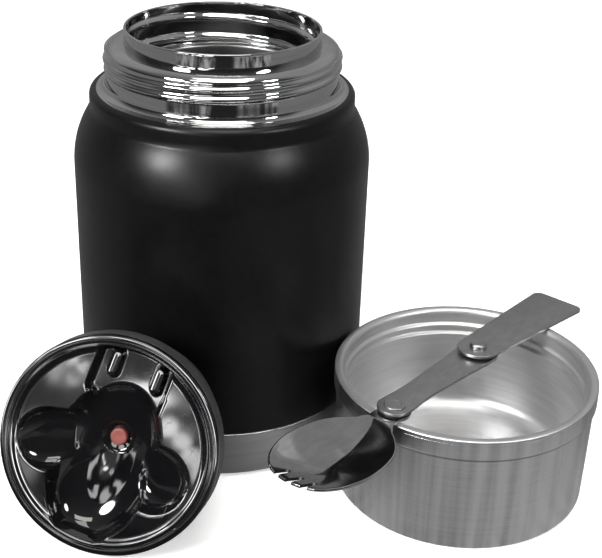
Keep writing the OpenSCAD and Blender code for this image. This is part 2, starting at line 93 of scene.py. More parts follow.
# %% The camera
def aim(pitch, yaw, roll):
    ahead = Vector((math.sin(yaw) * math.cos(pitch), math.cos(yaw) * math.cos(pitch), -math.sin(pitch)))
    right = ahead.cross(Vector((0, 0, 1))).normalized()
    up = right.cross(ahead)
    across = right * math.cos(roll) + up * math.sin(roll)
    upwards = up * math.cos(roll) - right * math.sin(roll)
    return Matrix((across, upwards, -ahead)).transposed().to_4x4()


PICTURE_W, PICTURE_H, FOCUS = 602, 558, 1263.43
MIDDLE_X, MIDDLE_Y, SENSOR = 346.79, 214.05, 36
bpy.ops.object.camera_add()
camera = bpy.context.object
camera.name = "camera"
camera.matrix_world = shift(-0.135, -407.706, 257.023) @ aim(0.416, 0.107, 0.046)
camera.data.sensor_width = SENSOR
camera.data.lens = SENSOR * FOCUS / PICTURE_W
camera.data.shift_x = (PICTURE_W / 2 - MIDDLE_X) / PICTURE_W
camera.data.shift_y = (MIDDLE_Y - PICTURE_H / 2) / PICTURE_W
camera.data.clip_start = 0.01
bpy.context.scene.camera = camera
bpy.context.scene.view_settings.view_transform = "Standard"
print("lens", round(camera.data.lens, 2), "shift", camera.data.shift_x, camera.data.shift_y)

# %% [markdown]
# A material is a small network of nodes. These helpers add a node and join two
# sockets, and each kind of node that the finishes need often has a short name. A
# socket knows its own network, so none of them has to be told which one it works in.

# %% Helpers for node networks
def node(tree, kind, **values):
    n = tree.nodes.new(kind)
    for key, value in values.items():
        setattr(n, key, value)
    return n


def join(out, into):
    into.id_data.links.new(out, into)


def feed(n, values):
    """Gives inputs of a node, by name or number, a value or another node's output."""
    for key, value in values.items():
        if isinstance(value, bpy.types.NodeSocket):
            join(value, n.inputs[key])
        else:
            n.inputs[key].default_value = value
    return n.outputs


def maths(operation, *values):
    tree = next(v.id_data for v in values if isinstance(v, bpy.types.NodeSocket))
    return feed(node(tree, "ShaderNodeMath", operation=operation), dict(enumerate(values)))[0]


def plus(a, b):
    return maths("ADD", a, b)


def minus(a, b):
    return maths("SUBTRACT", a, b)


def times(a, b):
    return maths("MULTIPLY", a, b)


def over(a, b):
    return maths("DIVIDE", a, b)


def length(a, b):
    return maths("SQRT", plus(times(a, a), times(b, b)))


def spread(value, lo, hi, to_lo, to_hi, kind="LINEAR"):
    """Carries lo to to_lo and hi to to_hi, and holds still beyond them."""
    return feed(node(value.id_data, "ShaderNodeMapRange", interpolation_type=kind),
                {"Value": value, "From Min": lo, "From Max": hi, "To Min": to_lo, "To Max": to_hi})["Result"]


def climb(value, lo, hi, first=0, last=1):
    return spread(value, lo, hi, first, last, "SMOOTHSTEP")


def mix_values(amount, a, b):
    return feed(node(amount.id_data, "ShaderNodeMix"), {0: amount, 2: a, 3: b})[0]


def blend_colours(amount, a, b):
    a, b = ((*c, 1) if isinstance(c, tuple) else c for c in (a, b))
    return feed(node(amount.id_data, "ShaderNodeMix", data_type="RGBA"), {0: amount, 6: a, 7: b})[2]


def split(vector):
    return feed(node(vector.id_data, "ShaderNodeSeparateXYZ"), {0: vector})


def vectors(operation, *values):
    return feed(node(values[0].id_data, "ShaderNodeVectorMath", operation=operation), dict(enumerate(values)))


def noise(vector, scale, detail, distortion=0.0):
    return feed(node(vector.id_data, "ShaderNodeTexNoise"),
                {"Vector": vector, "Scale": scale, "Detail": detail, "Distortion": distortion})["Fac"]


def new_group(name, numbers, outputs):
    """A group that takes a vector and these numbers, and gives these outputs."""
    tree = bpy.data.node_groups.new(name, "ShaderNodeTree")
    tree.interface.new_socket(name="Vector", in_out="INPUT", socket_type="NodeSocketVector")
    for key, value in numbers.items():
        tree.interface.new_socket(name=key, in_out="INPUT", socket_type="NodeSocketFloat").default_value = value
    for key in outputs:
        tree.interface.new_socket(name=key, in_out="OUTPUT", socket_type="NodeSocketFloat")
    return tree, node(tree, "NodeGroupInput").outputs, node(tree, "NodeGroupOutput").inputs


def place_group(group, vector, **values):
    n = node(vector.id_data, "ShaderNodeGroup", node_tree=group)
    return feed(n, {"Vector": vector, **{key.replace("_", " "): v for key, v in values.items()}})


def new_finish(name, **settings):
    material = bpy.data.materials.new(name)
    material.use_nodes = True
    shader = material.node_tree.nodes["Principled BSDF"]
    for key, value in settings.items():
        shader.inputs[key.replace("_", " ")].default_value = value
    return material, shader, node(material.node_tree, "ShaderNodeTexCoord").outputs["Object"]


def set_finish(shader, colour, roughness, height, strength, distance):
    bump = feed(node(shader.id_data, "ShaderNodeBump"), {"Strength": strength, "Distance": distance, "Height": height})
    feed(shader, {"Base Color": colour, "Roughness": roughness, "Normal": bump["Normal"]})


print("helpers ready")

# %% [markdown]
# Turned and brushed metal carries fine lines that run round its axis. The lines
# could be drawn on a flat picture, but a picture has a seam and a fixed sharpness.
# Here a noise is stretched round the axis: the angle and the height become the
# noise's coordinates, with little change along the angle and much along the height.

# %% Node group: lines round an axis
ring_grain, given, result = new_group(
    "ring_grain", {"Centre X": 0.0, "Centre Y": 0.0, "Lines per mm": 6.0, "Streak": 3.0}, ("Lines", "Bands", "Streaks"))
xyz = split(given["Vector"])
dx, dy = minus(xyz[0], given["Centre X"]), minus(xyz[1], given["Centre Y"])
radius = length(dx, dy)
side_x, side_y = (over(d, plus(radius, 1e-6)) for d in (dx, dy))
height = times(plus(xyz[2], times(radius, 0.7)), 1 / MM)
fine = times(height, given["Lines per mm"])
for key, around, level, detail in (("Lines", given["Streak"], fine, 2.0),
                                   ("Bands", times(given["Streak"], 0.5), times(fine, 0.12), 1.0),
                                   ("Streaks", 14, times(height, 0.01), 2.0)):
    where = {0: times(side_x, around), 1: times(side_y, around), 2: level}
    join(noise(feed(node(ring_grain, "ShaderNodeCombineXYZ"), where)[0], 1.0, detail), result[key])
print("group", ring_grain.name)

# %% [markdown]
# Handled metal and gloss plastic are never quite even: there are soft smudges a
# centimetre wide and hair-fine scratches in every direction. Both are noises, one
# large and soft, one squeezed into thin curved lines. A third, very smooth noise is
# the slow wave that rolling leaves in thin sheet, which breaks up a lamp's glint.

# %% Node group: smudges and hairline scratches
handling, given, result = new_group("handling", {"Size mm": 12.0}, ("Smudge", "Scratch", "Wave"))
place, size = given["Vector"], given["Size mm"]
join(spread(noise(place, over(1000, size), 3.0), 0.35, 0.68, 0, 1), result["Smudge"])
hair = maths("ABSOLUTE", minus(noise(place, 70, 1.0, distortion=1.5), 0.5))
join(spread(hair, 0.0, 0.004, 1, 0), result["Scratch"])
join(noise(place, over(1700, size), 0.0), result["Wave"])
print("group", handling.name)

# %% [markdown]
# Powder coat and moulded plastic have a skin of tiny bumps, from the powder's grains
# or the etched mould. A fine noise gives the bumps, and a coarser one the slow wave
# called orange peel.

# %% Node group: skin of fine bumps
fine_skin, given, result = new_group("fine_skin", {"Grain mm": 0.35}, ("Height", "Mottle"))
grain, peel = (noise(given["Vector"], over(per_metre, given["Grain mm"]), detail)
               for per_metre, detail in ((1000, 2.0), (160, 1.0)))
join(plus(grain, times(peel, 0.6)), result["Height"])
join(spread(peel, 0.35, 0.65, 0, 1), result["Mottle"])
print("group", fine_skin.name)

# %% [markdown]
# All the steels are full metals: only the tone, the roughness and the lines tell them
# apart. The neck is polished, the liner, the links and the inside of the cup are
# satin, the cup's and the foot's walls are brushed round their axis, and the bowl lies
# between polished and satin.

# %% Steels
def shade(tone, share):
    return tuple(c * share for c in tone)


def steel(name, tone, low, high, lines, bump, centre=(0.0, 0.0), anisotropic=0.0, streak=3.0, size=14.0, wave=0.0,
          band_share=0.55, painted_shade_line=None, painted_streaks=0.0):
    """A metal, by its tone, its least and most roughness, its lines per mm and the strength of its bumps."""
    material, shader, at = new_finish(name, Metallic=1.0, Anisotropic=anisotropic)
    grain = place_group(ring_grain, at, Centre_X=centre[0], Centre_Y=centre[1], Lines_per_mm=lines, Streak=streak)
    marks = place_group(handling, at, Size_mm=size)
    wander = plus(times(grain["Bands"], band_share), times(grain["Lines"], 1 - band_share))
    colour = blend_colours(spread(wander, 0.38, 0.62, 0, 1), shade(tone, 0.86), tone)
    # Pale upright streaks in the colour: painted reflections, the soft bands that brushed steel shows of the room.
    if painted_streaks:
        colour = blend_colours(spread(grain["Streaks"], 0.36, 0.64, 0, painted_streaks), colour, shade(tone, 1.45))
    # A thin dark ring at this height: painted shade along a step in the wall.
    if painted_shade_line is not None:
        off = maths("ABSOLUTE", minus(split(at)[2], painted_shade_line * MM))
        colour = blend_colours(spread(off, 0.0001, 0.0005, 0, 1), shade(tone, 0.4), colour)
    uneven = plus(times(grain["Lines"], 0.5), times(marks["Smudge"], 0.5))
    rough = plus(spread(uneven, 0.1, 0.8, low, high), times(marks["Scratch"], 0.06))
    set_finish(shader, colour, rough, plus(grain["Lines"], times(marks["Wave"], wave)), bump, 0.03 * MM)
    return material


CUP_XY = (CUP.translation.x, CUP.translation.y)
polished_steel = steel("polished_steel", (0.53, 0.53, 0.535), 0.035, 0.075, 3.0, 0.10, size=10.0, wave=40.0)
satin_steel = steel("satin_steel", (0.50, 0.50, 0.505), 0.26, 0.36, 5.0, 0.15)
# A darker copy of the satin steel: painted shade for the liner's seat, deep inside the jar.
shaded_seat_steel = steel("seat_steel_painted_shade", (0.22, 0.22, 0.222), 0.30, 0.40, 5.0, 0.15)
foot_steel = steel("brushed_foot_steel", (0.48, 0.48, 0.485), 0.30, 0.40, 7.0, 0.5, anisotropic=0.5)
# The cup's wall also has pale upright streaks in its colour, which are painted reflections.
# The cup's wall has a painted shade line along the step under its band.
cup_steel = steel("brushed_cup_steel", (0.40, 0.40, 0.405), 0.24, 0.34, 3.2, 0.5, centre=CUP_XY, anisotropic=0.55,
                  streak=1.6, band_share=0.15, painted_shade_line=34.3, painted_streaks=0.6)
cup_satin = steel("satin_cup_steel", (0.60, 0.60, 0.605), 0.40, 0.48, 5.0, 0.12, centre=CUP_XY)
straight = {"centre": (2.0, -2.0), "streak": 900.0}    # so far off that the rings run straight
link_steel = steel("link_steel", (0.39, 0.39, 0.395), 0.26, 0.36, 4.0, 0.12, **straight)
bowl_steel = steel("bowl_steel", (0.50, 0.50, 0.505), 0.07, 0.12, 4.0, 0.06, **straight)
print("steels ready")

# %% [markdown]
# The jar's coat is a matt black powder, with a wide, weak shine: its base is dark, its
# roughness is high and wanders a little, and the skin of fine bumps is its height. The
# stopper is moulded in two blacks. Its face is a glossy cover that shows the lamps as
# sharp points, and its side is matt. The button is soft red silicone.

# %% Powder coat, plastics and rubbers
def plastic(name, dark, light, low, high, grain_mm, bump, specular=0.5, depth=0.05, size=9.0, scratches=0.05):
    """A plastic, by its two tones, its least and most roughness, and the size and strength of its bumps."""
    material, shader, at = new_finish(name, Specular_IOR_Level=specular)
    skin = place_group(fine_skin, at, Grain_mm=grain_mm)
    marks = place_group(handling, at, Size_mm=size)
    rough = plus(spread(marks["Smudge"], 0, 1, low, high), times(marks["Scratch"], scratches))
    set_finish(shader, blend_colours(skin["Mottle"], dark, light), rough, skin["Height"], bump, depth * MM)
    return material


powder_coat = plastic("powder_coat", (0.0014, 0.0014, 0.0015), (0.0024, 0.0024, 0.0026), 0.31, 0.38, 0.3, 0.25,
                      specular=0.22, depth=0.08, size=26.0, scratches=0.0)
gloss_black = plastic("gloss_black", (0.0027, 0.0027, 0.0032), (0.0040, 0.0040, 0.0045), 0.035, 0.075, 6.0, 0.03,
                      specular=0.6)
matte_black = plastic("matte_black", (0.016, 0.016, 0.017), (0.022, 0.022, 0.023), 0.46, 0.56, 0.25, 0.35)
red_rubber = plastic("red_rubber", (0.150, 0.030, 0.024), (0.190, 0.045, 0.036), 0.40, 0.50, 0.4, 0.4)
grey_rubber = plastic("grey_rubber", (0.13, 0.13, 0.135), (0.16, 0.16, 0.165), 0.5, 0.6, 0.4, 0.3)
dark_washer = plastic("dark_washer", (0.012, 0.012, 0.012), (0.02, 0.02, 0.02), 0.4, 0.5, 0.3, 0.3)
foam = plastic("foam", (0.62, 0.61, 0.56), (0.76, 0.75, 0.70), 0.8, 0.95, 0.8, 1.0, depth=0.3)
glass_bead = plastic("glass_bead", (0.16, 0.17, 0.19), (0.2, 0.21, 0.23), 0.1, 0.2, 1.0, 0.1)
getter_grey = plastic("getter_grey", (0.08, 0.08, 0.085), (0.13, 0.13, 0.135), 0.6, 0.8, 0.2, 0.8)
print("coat and plastics ready")

# %% [markdown]
# Round walls are turned like clay on a wheel: a profile is drawn point by point with
# extrude, and spin carries it round the axis. A whole solid could be cut from
# cylinders, but a profile holds every rolled edge and ridge in one clean mesh.

# %% Turning a profile
def rounded(corners, steps=5):
    """A line through (r, z, round) corners in millimetres, with each corner rounded."""
    line = []
    for i, corner in enumerate(corners):
        here, size = Vector(corner[:2]), corner[2] if len(corner) > 2 else 0
        if not size or i in (0, len(corners) - 1):
            line.append(here)
            continue
        back, on = (Vector(corners[k][:2]) - here for k in (i - 1, i + 1))
        cut = min(size, back.length * 0.49, on.length * 0.49)
        a, b = here + back.normalized() * cut, here + on.normalized() * cut
        for k in range(steps + 1):
            t = k / steps
            line.append(a * (1 - t) ** 2 + here * 2 * t * (1 - t) + b * t ** 2)
    return [(p.x, p.y) for p in line]


def clear_selection():
    bpy.ops.object.select_all(action="DESELECT")


def mode(name):
    bpy.ops.object.mode_set(mode=name)


def select(action="SELECT"):
    """Selects or deselects the whole mesh, in edit mode."""
    bpy.ops.mesh.select_all(action=action)


def pick(obj):
    """Goes to object mode with this object alone selected and active."""
    mode("OBJECT")
    clear_selection()
    obj.select_set(True)
    bpy.context.view_layer.objects.active = obj


def outward():
    """Turns the whole mesh's faces outwards, in edit mode."""
    select()
    bpy.ops.mesh.normals_make_consistent(inside=False)


def change(obj, kind, **settings):
    """Adds a modifier to the active object, sets it and applies it."""
    modifier = obj.modifiers.new(kind.lower(), kind)
    for key, value in settings.items():
        setattr(modifier, key, value)
    bpy.ops.object.modifier_apply(modifier=modifier.name)


def finish_edges(obj, angle=35):
    pick(obj)
    bpy.ops.object.shade_smooth_by_angle(angle=math.radians(angle))


def added(name, add, **settings):
    """Adds a primitive or a lamp with nothing else selected, and names it."""
    clear_selection()
    add(**settings)
    bpy.context.object.name = bpy.context.object.data.name = name
    return bpy.context.object


def disc(name, vertices, radius, location=(0, 0, 0)):
    return added(name, bpy.ops.mesh.primitive_circle_add, vertices=vertices, radius=radius, fill_type="NGON",
                 location=location)


def turned(name, line, steps=160, closed=True):
    """Turns a line of (r, z) points in millimetres round the z axis."""
    obj = added(name, bpy.ops.mesh.primitive_plane_add, size=0.01)
    mode("EDIT")
    bpy.ops.mesh.select_mode(type="VERT")
    select()
    bpy.ops.mesh.merge(type="CENTER")
    bpy.ops.transform.translate(value=(line[0][0] * MM, 0, line[0][1] * MM))
    last = line[0]
    for r, z in list(line[1:]) + ([line[0]] if closed else []):
        step = ((r - last[0]) * MM, 0, (z - last[1]) * MM)
        bpy.ops.mesh.extrude_vertices_move(TRANSFORM_OT_translate={"value": step})
        last = (r, z)
    select()
    bpy.ops.mesh.spin(steps=steps, angle=2 * math.pi, center=(0, 0, 0), axis=(0, 0, 1))
    select()
    bpy.ops.mesh.remove_doubles(threshold=2e-6)
    outward()
    finish_edges(obj)
    return obj


def dress(obj, material, body, slot, *nodes, place=None):
    """Carries a finished mesh to its place, with the object left at the origin, gives it its material and the
    body it rides on, and hides the CAD nodes it stands for. The slot is not used."""
    if place is not None:
        pick(obj)
        obj.matrix_world = place
        bpy.ops.object.transform_apply(location=True, rotation=True, scale=True)
    obj.data.materials.clear()
    obj.data.materials.append(material)
    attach(obj, body)
    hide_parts(*nodes)
    print(obj.name, len(obj.data.polygons), "faces")


print("a rounded corner:", [(round(r, 2), round(z, 2)) for r, z in rounded([(0, 0), (2, 0, 1), (2, 2)], 3)])

# %% [markdown]
# The outer shell is one deep-drawn sheet. Its wall leans out a little towards the
# shoulder, rolls in over a long curve to a short straight collar, and ends in a small
# round edge. At the foot it is rolled under, which leaves the fine dark line where
# the bare steel band begins.

# %% Outer shell
def arc(cx, cy, r, a0, a1, n):
    """Points of a circle round (cx, cy), from one angle in degrees to another."""
    angles = [math.radians(a0 + (a1 - a0) * i / n) for i in range(n + 1)]
    return [(cx + r * math.cos(a), cy + r * math.sin(a)) for a in angles]


COLLAR_R, SHOULDER_ROUND, SHEET = 44.5, 33, 0.8
SHOULDER = (BODY_R - SHOULDER_ROUND, 97.99)    # middle of the shoulder's curve
shoulder_end = math.degrees(math.acos((COLLAR_R - SHOULDER[0]) / SHOULDER_ROUND))
outside = ([(49.15, 17.05), (49.5, 17.1), (49.68, 17.25), (49.76, 17.6), (49.80, 25), (49.95, 50), (50.1, 75)]
           + arc(*SHOULDER, SHOULDER_ROUND, 0, shoulder_end, 26)
           + [(COLLAR_R, 118.5)] + arc(COLLAR_R - 2.2, 121.1, 2.2, 0, 90, 10))
inside = ([(42.0, 123.1), (42.0, 122.6), (43.6, 120.5)]
          + arc(*SHOULDER, SHOULDER_ROUND - SHEET, shoulder_end, 0, 14) + [(49.0, 60), (48.9, 18)])
shell = turned("jar_shell", outside + inside, steps=192)
dress(shell, powder_coat, "jar", "powder_coat", "outer_shell")

# %% [markdown]
# The foot is a bare steel cap pressed over the shell's end. It is brushed round and
# round, its lower edge is rolled, and its underside is dished so that the jar stands
# on a ring.

# %% Foot
foot = turned("jar_foot", rounded([
    (0, 1.6), (38, 1.6, 1.5), (41, 0, 1.2), (49.7, 0, 3.4), (49.7, 16.6, 0.5), (49.0, 17.0), (48.9, 16.2),
    (48.9, 2.6, 2.0), (40, 2.4), (0, 2.4)], 6), steps=192)
dress(foot, foot_steel, "jar", "brushed_steel", "base_cap")

# %% [markdown]
# The neck's thread is rolled: a ridge that winds round the wall and fades out at both
# ends. Spin alone gives closed rings, so the wall is turned with many close points
# first, and each point is then pushed out where the winding ridge passes.

# %% Winding ridges
RIDGE_FADE = 0.16    # part of a turn over which a ridge's end fades out
MOUTH_PITCH = 7.0    # of the liner's thread and the plug's


def wind(obj, *, height, width, turns, pitch, first_z, first_angle, radii, heights):
    """Pushes the points of a wall, within these radii and heights, out (or in, if height is negative) along a
    winding ridge. Lengths are in millimetres and angles in turns."""
    for v in obj.data.vertices:
        x, y, z = v.co.x / MM, v.co.y / MM, v.co.z / MM
        r = math.hypot(x, y)
        if not (radii[0] <= r <= radii[1] and heights[0] <= z <= heights[1]):
            continue
        lift = 0.0
        t = (math.atan2(y, x) / (2 * math.pi) - first_angle) % 1.0
        while t <= turns:
            near = (z - first_z - pitch * t) / (width / 2)
            if abs(near) < 1:
                end = min(1.0, t / RIDGE_FADE, (turns - t) / RIDGE_FADE)
                lift = max(lift, (math.cos(near * math.pi) + 1) / 2 * max(0.0, end) ** 0.5)
            t += 1
        if lift:
            v.co.x += height * MM * lift * x / r
            v.co.y += height * MM * lift * y / r
    obj.data.update()


def upright(r, z0, z1, step=0.22):
    n = max(2, int(abs(z1 - z0) / step))
    return [(r, z0 + (z1 - z0) * i / n) for i in range(n + 1)]


print("points up 10 mm of wall:", len(upright(38.9, 126, 136)))

# %% [markdown]
# The neck is a polished steel band between the collar and the lip. It starts in a
# fillet on the collar, rises as a plain wall, carries the thread, and rolls in to the
# foot of the lip.

# %% Neck
neck_out = ([(42.25, 122.9), (42.2, 123.2), (41.9, 123.3), (41.4, 123.32)] + arc(41.3, 125.7, 2.4, 268, 181, 12)
            + upright(38.9, 126.0, 136.0)
            + [(38.82, 136.4), (38.6, 136.8), (38.2, 137.25), (37.6, 137.65), (36.8, 138.0), (35.8, 138.25),
               (34.6, 138.36), (33.4, 138.4), (32.72, 138.4)])
neck_in = [(32.72, 137.6), (36.2, 137.2), (38.0, 135.6), (38.1, 126.0), (38.4, 124.6), (40.2, 122.7), (42.25, 122.5)]
neck = turned("jar_neck", neck_out + neck_in, steps=256)
wind(neck, height=0.8, width=3.0, turns=2.1, pitch=3.1, first_z=130.0, first_angle=0.44,
     radii=(38.5, 39.3), heights=(126, 136.6))
dress(neck, polished_steel, "jar", "polished_steel", "neck_ring")

# %% [markdown]
# The liner is the inner vessel. Its lip stands above the neck, and the stopper's own
# thread runs inside it, in two turns at a steep pitch. Below them the wall steps in
# to the seat and widens again into the belly. The lip and its thread are polished
# like the neck, so those faces take a second material slot. The seat and the wall just
# below it take a third, a darker steel that paints the shade deep inside the jar.

# %% Liner
liner_out = ([(0, 10), (37.7, 10)] + arc(37.75, 19, 9, 275, 360, 8) + [(46.75, 60)]
             + arc(17.21, 98.02, 29.54, 0, 63.7, 14)
             + [(30.3, 126.6), (32.7, 128.6), (32.7, 137.5), (32.68, 138.3), (32.66, 141.0), (32.70, 142.6),
                (32.72, 143.1)])
lip_top = [(32.64, 143.42), (32.46, 143.56), (32.25, 143.6), (32.04, 143.56), (31.87, 143.42), (31.8, 143.1)]
seat = [(31.7, 128.9), (31.5, 128.72), (31.2, 128.65), (29.9, 128.6), (29.62, 128.5), (29.46, 128.25),
        (29.4, 127.8), (29.4, 126.2)]
liner_in = (upright(31.8, 142.6, 129.2, 0.26) + seat
            + arc(17.21, 98.02, 28.64, 64.8, 0, 18) + [(45.85, 60)] + arc(37.75, 19, 8.1, 360, 272, 10)
            + [(37.0, 10.95), (20, 11.1), (0, 11.2)])
liner = turned("jar_liner", liner_out + lip_top + liner_in, steps=256, closed=False)
wind(liner, height=-1.1, width=3.2, turns=1.75, pitch=MOUTH_PITCH, first_z=128.3, first_angle=0.86,
     radii=(31.5, 32.0), heights=(129.2, 142))
dress(liner, satin_steel, "jar", "satin_steel", "liner")
liner.data.materials.append(polished_steel)
liner.data.materials.append(shaded_seat_steel)
POLISHED_FROM, PAINTED_SHADE_FROM = 129.0, 124.0
for f in liner.data.polygons:
    f.material_index = 1 if f.center.z > POLISHED_FROM * MM else 2 if f.center.z > PAINTED_SHADE_FROM * MM else 0

# %% [markdown]
# The cup has two walls. The outer one is brushed round and steps out into a band
# under the rim; the inner one is satin, carries the thread that fits the neck, and
# ends in the rolled rim that closes both walls.

# %% Cup
cup_wall = turned("cup_wall", rounded([
    (0, 1.0), (36.5, 1.0, 1.2), (38.6, 0, 0.8), (42.2, 0, 3.0), (43.1, 34.2, 0.5), (43.88, 35.3, 0.45),
    (43.9, 40.1, 0.2), (43.2, 40.1), (43.2, 36.0), (42.5, 34.4), (41.6, 1.6), (37.0, 1.8), (0, 1.8)], 6), steps=192)
dress(cup_wall, cup_steel, "cup", "brushed_steel", "cup_outer", place=CUP)
rim_out = [(43.88, 40.05), (43.88, 40.9)] + arc(43.28, 41.0, 0.6, 0, 90, 6)
rim_in = [(42.5, 41.66), (41.7, 41.55), (41.15, 41.2), (40.85, 40.7), (40.72, 40.0), (40.7, 39.6)]
cup_inside = (upright(40.7, 39.2, 28.0, 0.26) + [(40.6, 26), (39.5, 9.0)] + arc(34.2, 8.2, 5.2, 0, -88, 10)
              + [(30, 3.1), (12, 3.25), (0, 3.3)])
cup_back = [(0, 2.4), (33.8, 2.3)] + arc(34.2, 8.2, 6.0, -85, 0, 6) + [(41.5, 28), (41.5, 38.8), (43.1, 39.9)]
cup_liner = turned("cup_liner", cup_back + rim_out + rim_in + cup_inside, steps=224, closed=False)
wind(cup_liner, height=-1.2, width=1.7, turns=2.4, pitch=3.6, first_z=29.0, first_angle=0.36,
     radii=(40.3, 40.9), heights=(28, 39.4))
dress(cup_liner, cup_satin, "cup", "satin_steel", "cup_inner", place=CUP)
cup_liner.data.materials.append(cup_steel)
for f in cup_liner.data.polygons:
    from_axis = math.hypot(f.center.x - CUP_XY[0], f.center.y - CUP_XY[1])
    f.material_index = 1 if f.center.z > 39.9 * MM and from_axis > 43.75 * MM else 0

# %% [markdown]
# The links of the spork are stamped from sheet. An outline of points is filled, given
# its thickness by extrude, and its edges are broken with a bevel, as tumbling does to
# the real ones. The bright line along each edge comes from that bevel.

# %% Stamped plates
def break_edges(obj, width):
    change(obj, "BEVEL", width=width * MM, segments=3, limit_method="ANGLE", angle_limit=math.radians(50))


def stamped(name, outline, low, thick, edge=0.18):
    """A plate with this outline of (x, y) points, from the height low, with broken edges. Millimetres."""
    obj = disc(name, len(outline), 0.01)
    for v, (x, y) in zip(obj.data.vertices, outline):
        v.co = (x * MM, y * MM, low * MM)
    mode("EDIT")
    select()
    bpy.ops.mesh.extrude_region_move(TRANSFORM_OT_translate={"value": (0, 0, thick * MM)})
    outward()
    mode("OBJECT")
    break_edges(obj, edge)
    finish_edges(obj, 40)
    return obj


waist = [(3, 5.45), (8, 5.1), (14, 5.0), (22, 5.35), (34, 6.05), (44, 6.8)]
middle = stamped("spork_middle_link", arc(0, 0, 5.6, 100, 260, 28) + [(x, -y) for x, y in waist]
                 + arc(48.8, 0, 7, -84, 84, 28) + waist[::-1], 1.9, 1.0)
dress(middle, link_steel, "spork_middle", "satin_steel", "middle_link", place=SPORK)
tip = arc(51.4, -6.9, 3, -86, 0, 8) + arc(51.4, 6.9, 3, 0, 86, 8)
handle = stamped("spork_handle_link", arc(0, 0, 7, 93, 267, 30) + tip, 3.8, 1.0)
dress(handle, link_steel, "spork_handle", "satin_steel", "end_link", place=HANDLE)

# %% [markdown]
# The rivets are turned pins with a flattened head, and each head keeps a shallow ring
# from the punch that closed it. The washers are dark rings that hold the plates apart.

# %% Rivets and washers
low_rivet = turned("bowl_rivet_head", rounded([
    (0, -0.02), (1.9, -0.02), (1.9, 3.0), (3.5, 3.0, 0.1), (3.45, 3.42, 0.25), (2.2, 3.5, 0.2), (2.0, 3.42, 0.1),
    (0, 3.42)], 4), steps=64)
dress(low_rivet, link_steel, "spork", "satin_steel", "bowl_rivet", place=SPORK)
high_rivet = turned("middle_rivet_head", rounded([
    (0, 1.9), (1.9, 1.9), (1.9, 4.9), (2.9, 4.9, 0.1), (2.88, 6.2, 0.5), (2.2, 6.6, 0.25), (1.7, 6.52, 0.2),
    (0, 6.5)], 5), steps=64)
dress(high_rivet, link_steel, "spork_middle", "satin_steel", "middle_rivet", place=HANDLE)
for name, place, low, body, cad in (("bowl_spacer", SPORK, 1.0, "spork", "bowl_washer"),
                                    ("middle_spacer", HANDLE, 2.9, "spork_middle", "middle_washer")):
    high = low + 0.8
    ring = turned(name, rounded([(1.92, low), (4.55, low, 0.15), (4.55, high, 0.15), (1.92, high)], 3), steps=72)
    dress(ring, dark_washer, body, "dark_washer", cad, place=place)

# %% [markdown]
# The stopper's face is one glossy moulding: a rim, a flat face, and recesses that
# hold the folded spork and let two fingers reach it. Cutting it with booleans leaves
# hard edges, and the real one has soft fillets everywhere. So the face is a fine grid,
# and each point's depth is worked out from all the recesses at once. Where two of
# them meet, a smooth minimum lets one flow into the other, which is the fillet.

# %% Depth of the stopper's face
def smooth_min(a, b, k):
    h = max(k - abs(a - b), 0.0) / k
    return min(a, b) - h * h * k / 4


def box_distance(x, y, half_x, half_y, r):
    """Distance from a box with corners of radius r, below 0 inside it."""
    qx, qy = abs(x) - half_x + r, abs(y) - half_y + r
    return math.hypot(max(qx, 0), max(qy, 0)) + min(max(qx, qy), 0) - r


def wall(distance, floor, draft):
    """Height of a recess with a flat floor: it climbs from the floor to 1.5 mm above the rim over its draft."""
    t = max(0.0, (distance + draft) / draft)
    return floor + (1.5 - floor) * t


def rise(t):
    """Climbs smoothly from 0 to 1 as t does."""
    t = min(1.0, max(0.0, t))
    return t * t * (3 - 2 * t)


def lobe(distance, depth, slope):
    """A round recess beside the oval one, with a floor that slants. It shows where the distance is under 1."""
    if distance >= 1:
        return FACE + 30 * (distance - 1)
    return FACE - min(9.0, depth + 0.42 * slope) * math.sqrt(1 - distance ** 4)


FACE = -1    # height of the flat face; the rim is at 0
TURN_COS, TURN_SIN = math.cos(math.radians(RECESS_TURN)), math.sin(math.radians(RECESS_TURN))


def face_depth(x, y):
    """Height of the stopper's face in millimetres. The recess for the spork lies along b, across a."""
    r = math.hypot(x, y)
    a, b = TURN_COS * x - TURN_SIN * y, TURN_SIN * x + TURN_COS * y
    inside_rim = (r - 31.2) / 1.4
    rim = FACE + rise((r - 29.2) / 1.6) - 0.22 * math.exp(-((r - 31.75) / 0.35) ** 2)
    square = wall(max(box_distance(a + 1.4, b - 23.15, 12.7, 11.15, 3.4) / 1.3, inside_rim), -5.8, 1.2)
    p = min(1.1, math.hypot(a / 16.5, (b + 6.2) / (27 if b > -6.2 else 25.5)))
    oval = 3
    if p < 1:
        ball = (math.sqrt(1 - 0.9 * p * p) - math.sqrt(0.1)) / (1 - math.sqrt(0.1))
        oval = FACE - 4.6 * math.sqrt(1 - p ** 8) - 6.0 * ball
    elif p < 1.08:
        oval = FACE + 40 * (p - 1)
    oval = max(oval, wall(inside_rim, -13, 2.4))
    left = lobe(math.hypot(min(x + 18.8, 0.0), y + 0.5) / 10.0, 2.6, x + 28.8) if x < 0 else 3
    right = lobe(math.hypot(x - 14.4, y + 8.9) / 10.7, 2.8, 25.1 - x)
    z = rim
    for recess, fillet in ((square, 0.9), (left, 1.0), (right, 1.0), (oval, 0.9)):
        z = smooth_min(z, recess, fillet)
    if r < 9:    # the button's seat
        z = smooth_min(z, wall((r - 6.6) / 1.2, -12.6 + 0.03 * r * r, 1.4), 0.8)
    for side in (-7.8, 6.4):    # two low posts in the square recess
        post = math.hypot(a - side, max(abs(b - 24.0) - 2.9, 0))
        z = -smooth_min(-z, 2.2 + 0.45 * post * post + 5.0 * max(0.0, post - 1.5), 0.5)
    return z


print("depths:", [round(face_depth(*p), 2) for p in ((0, 5), (0, -12), (-20, 0), (18, -9), (6, 24))])

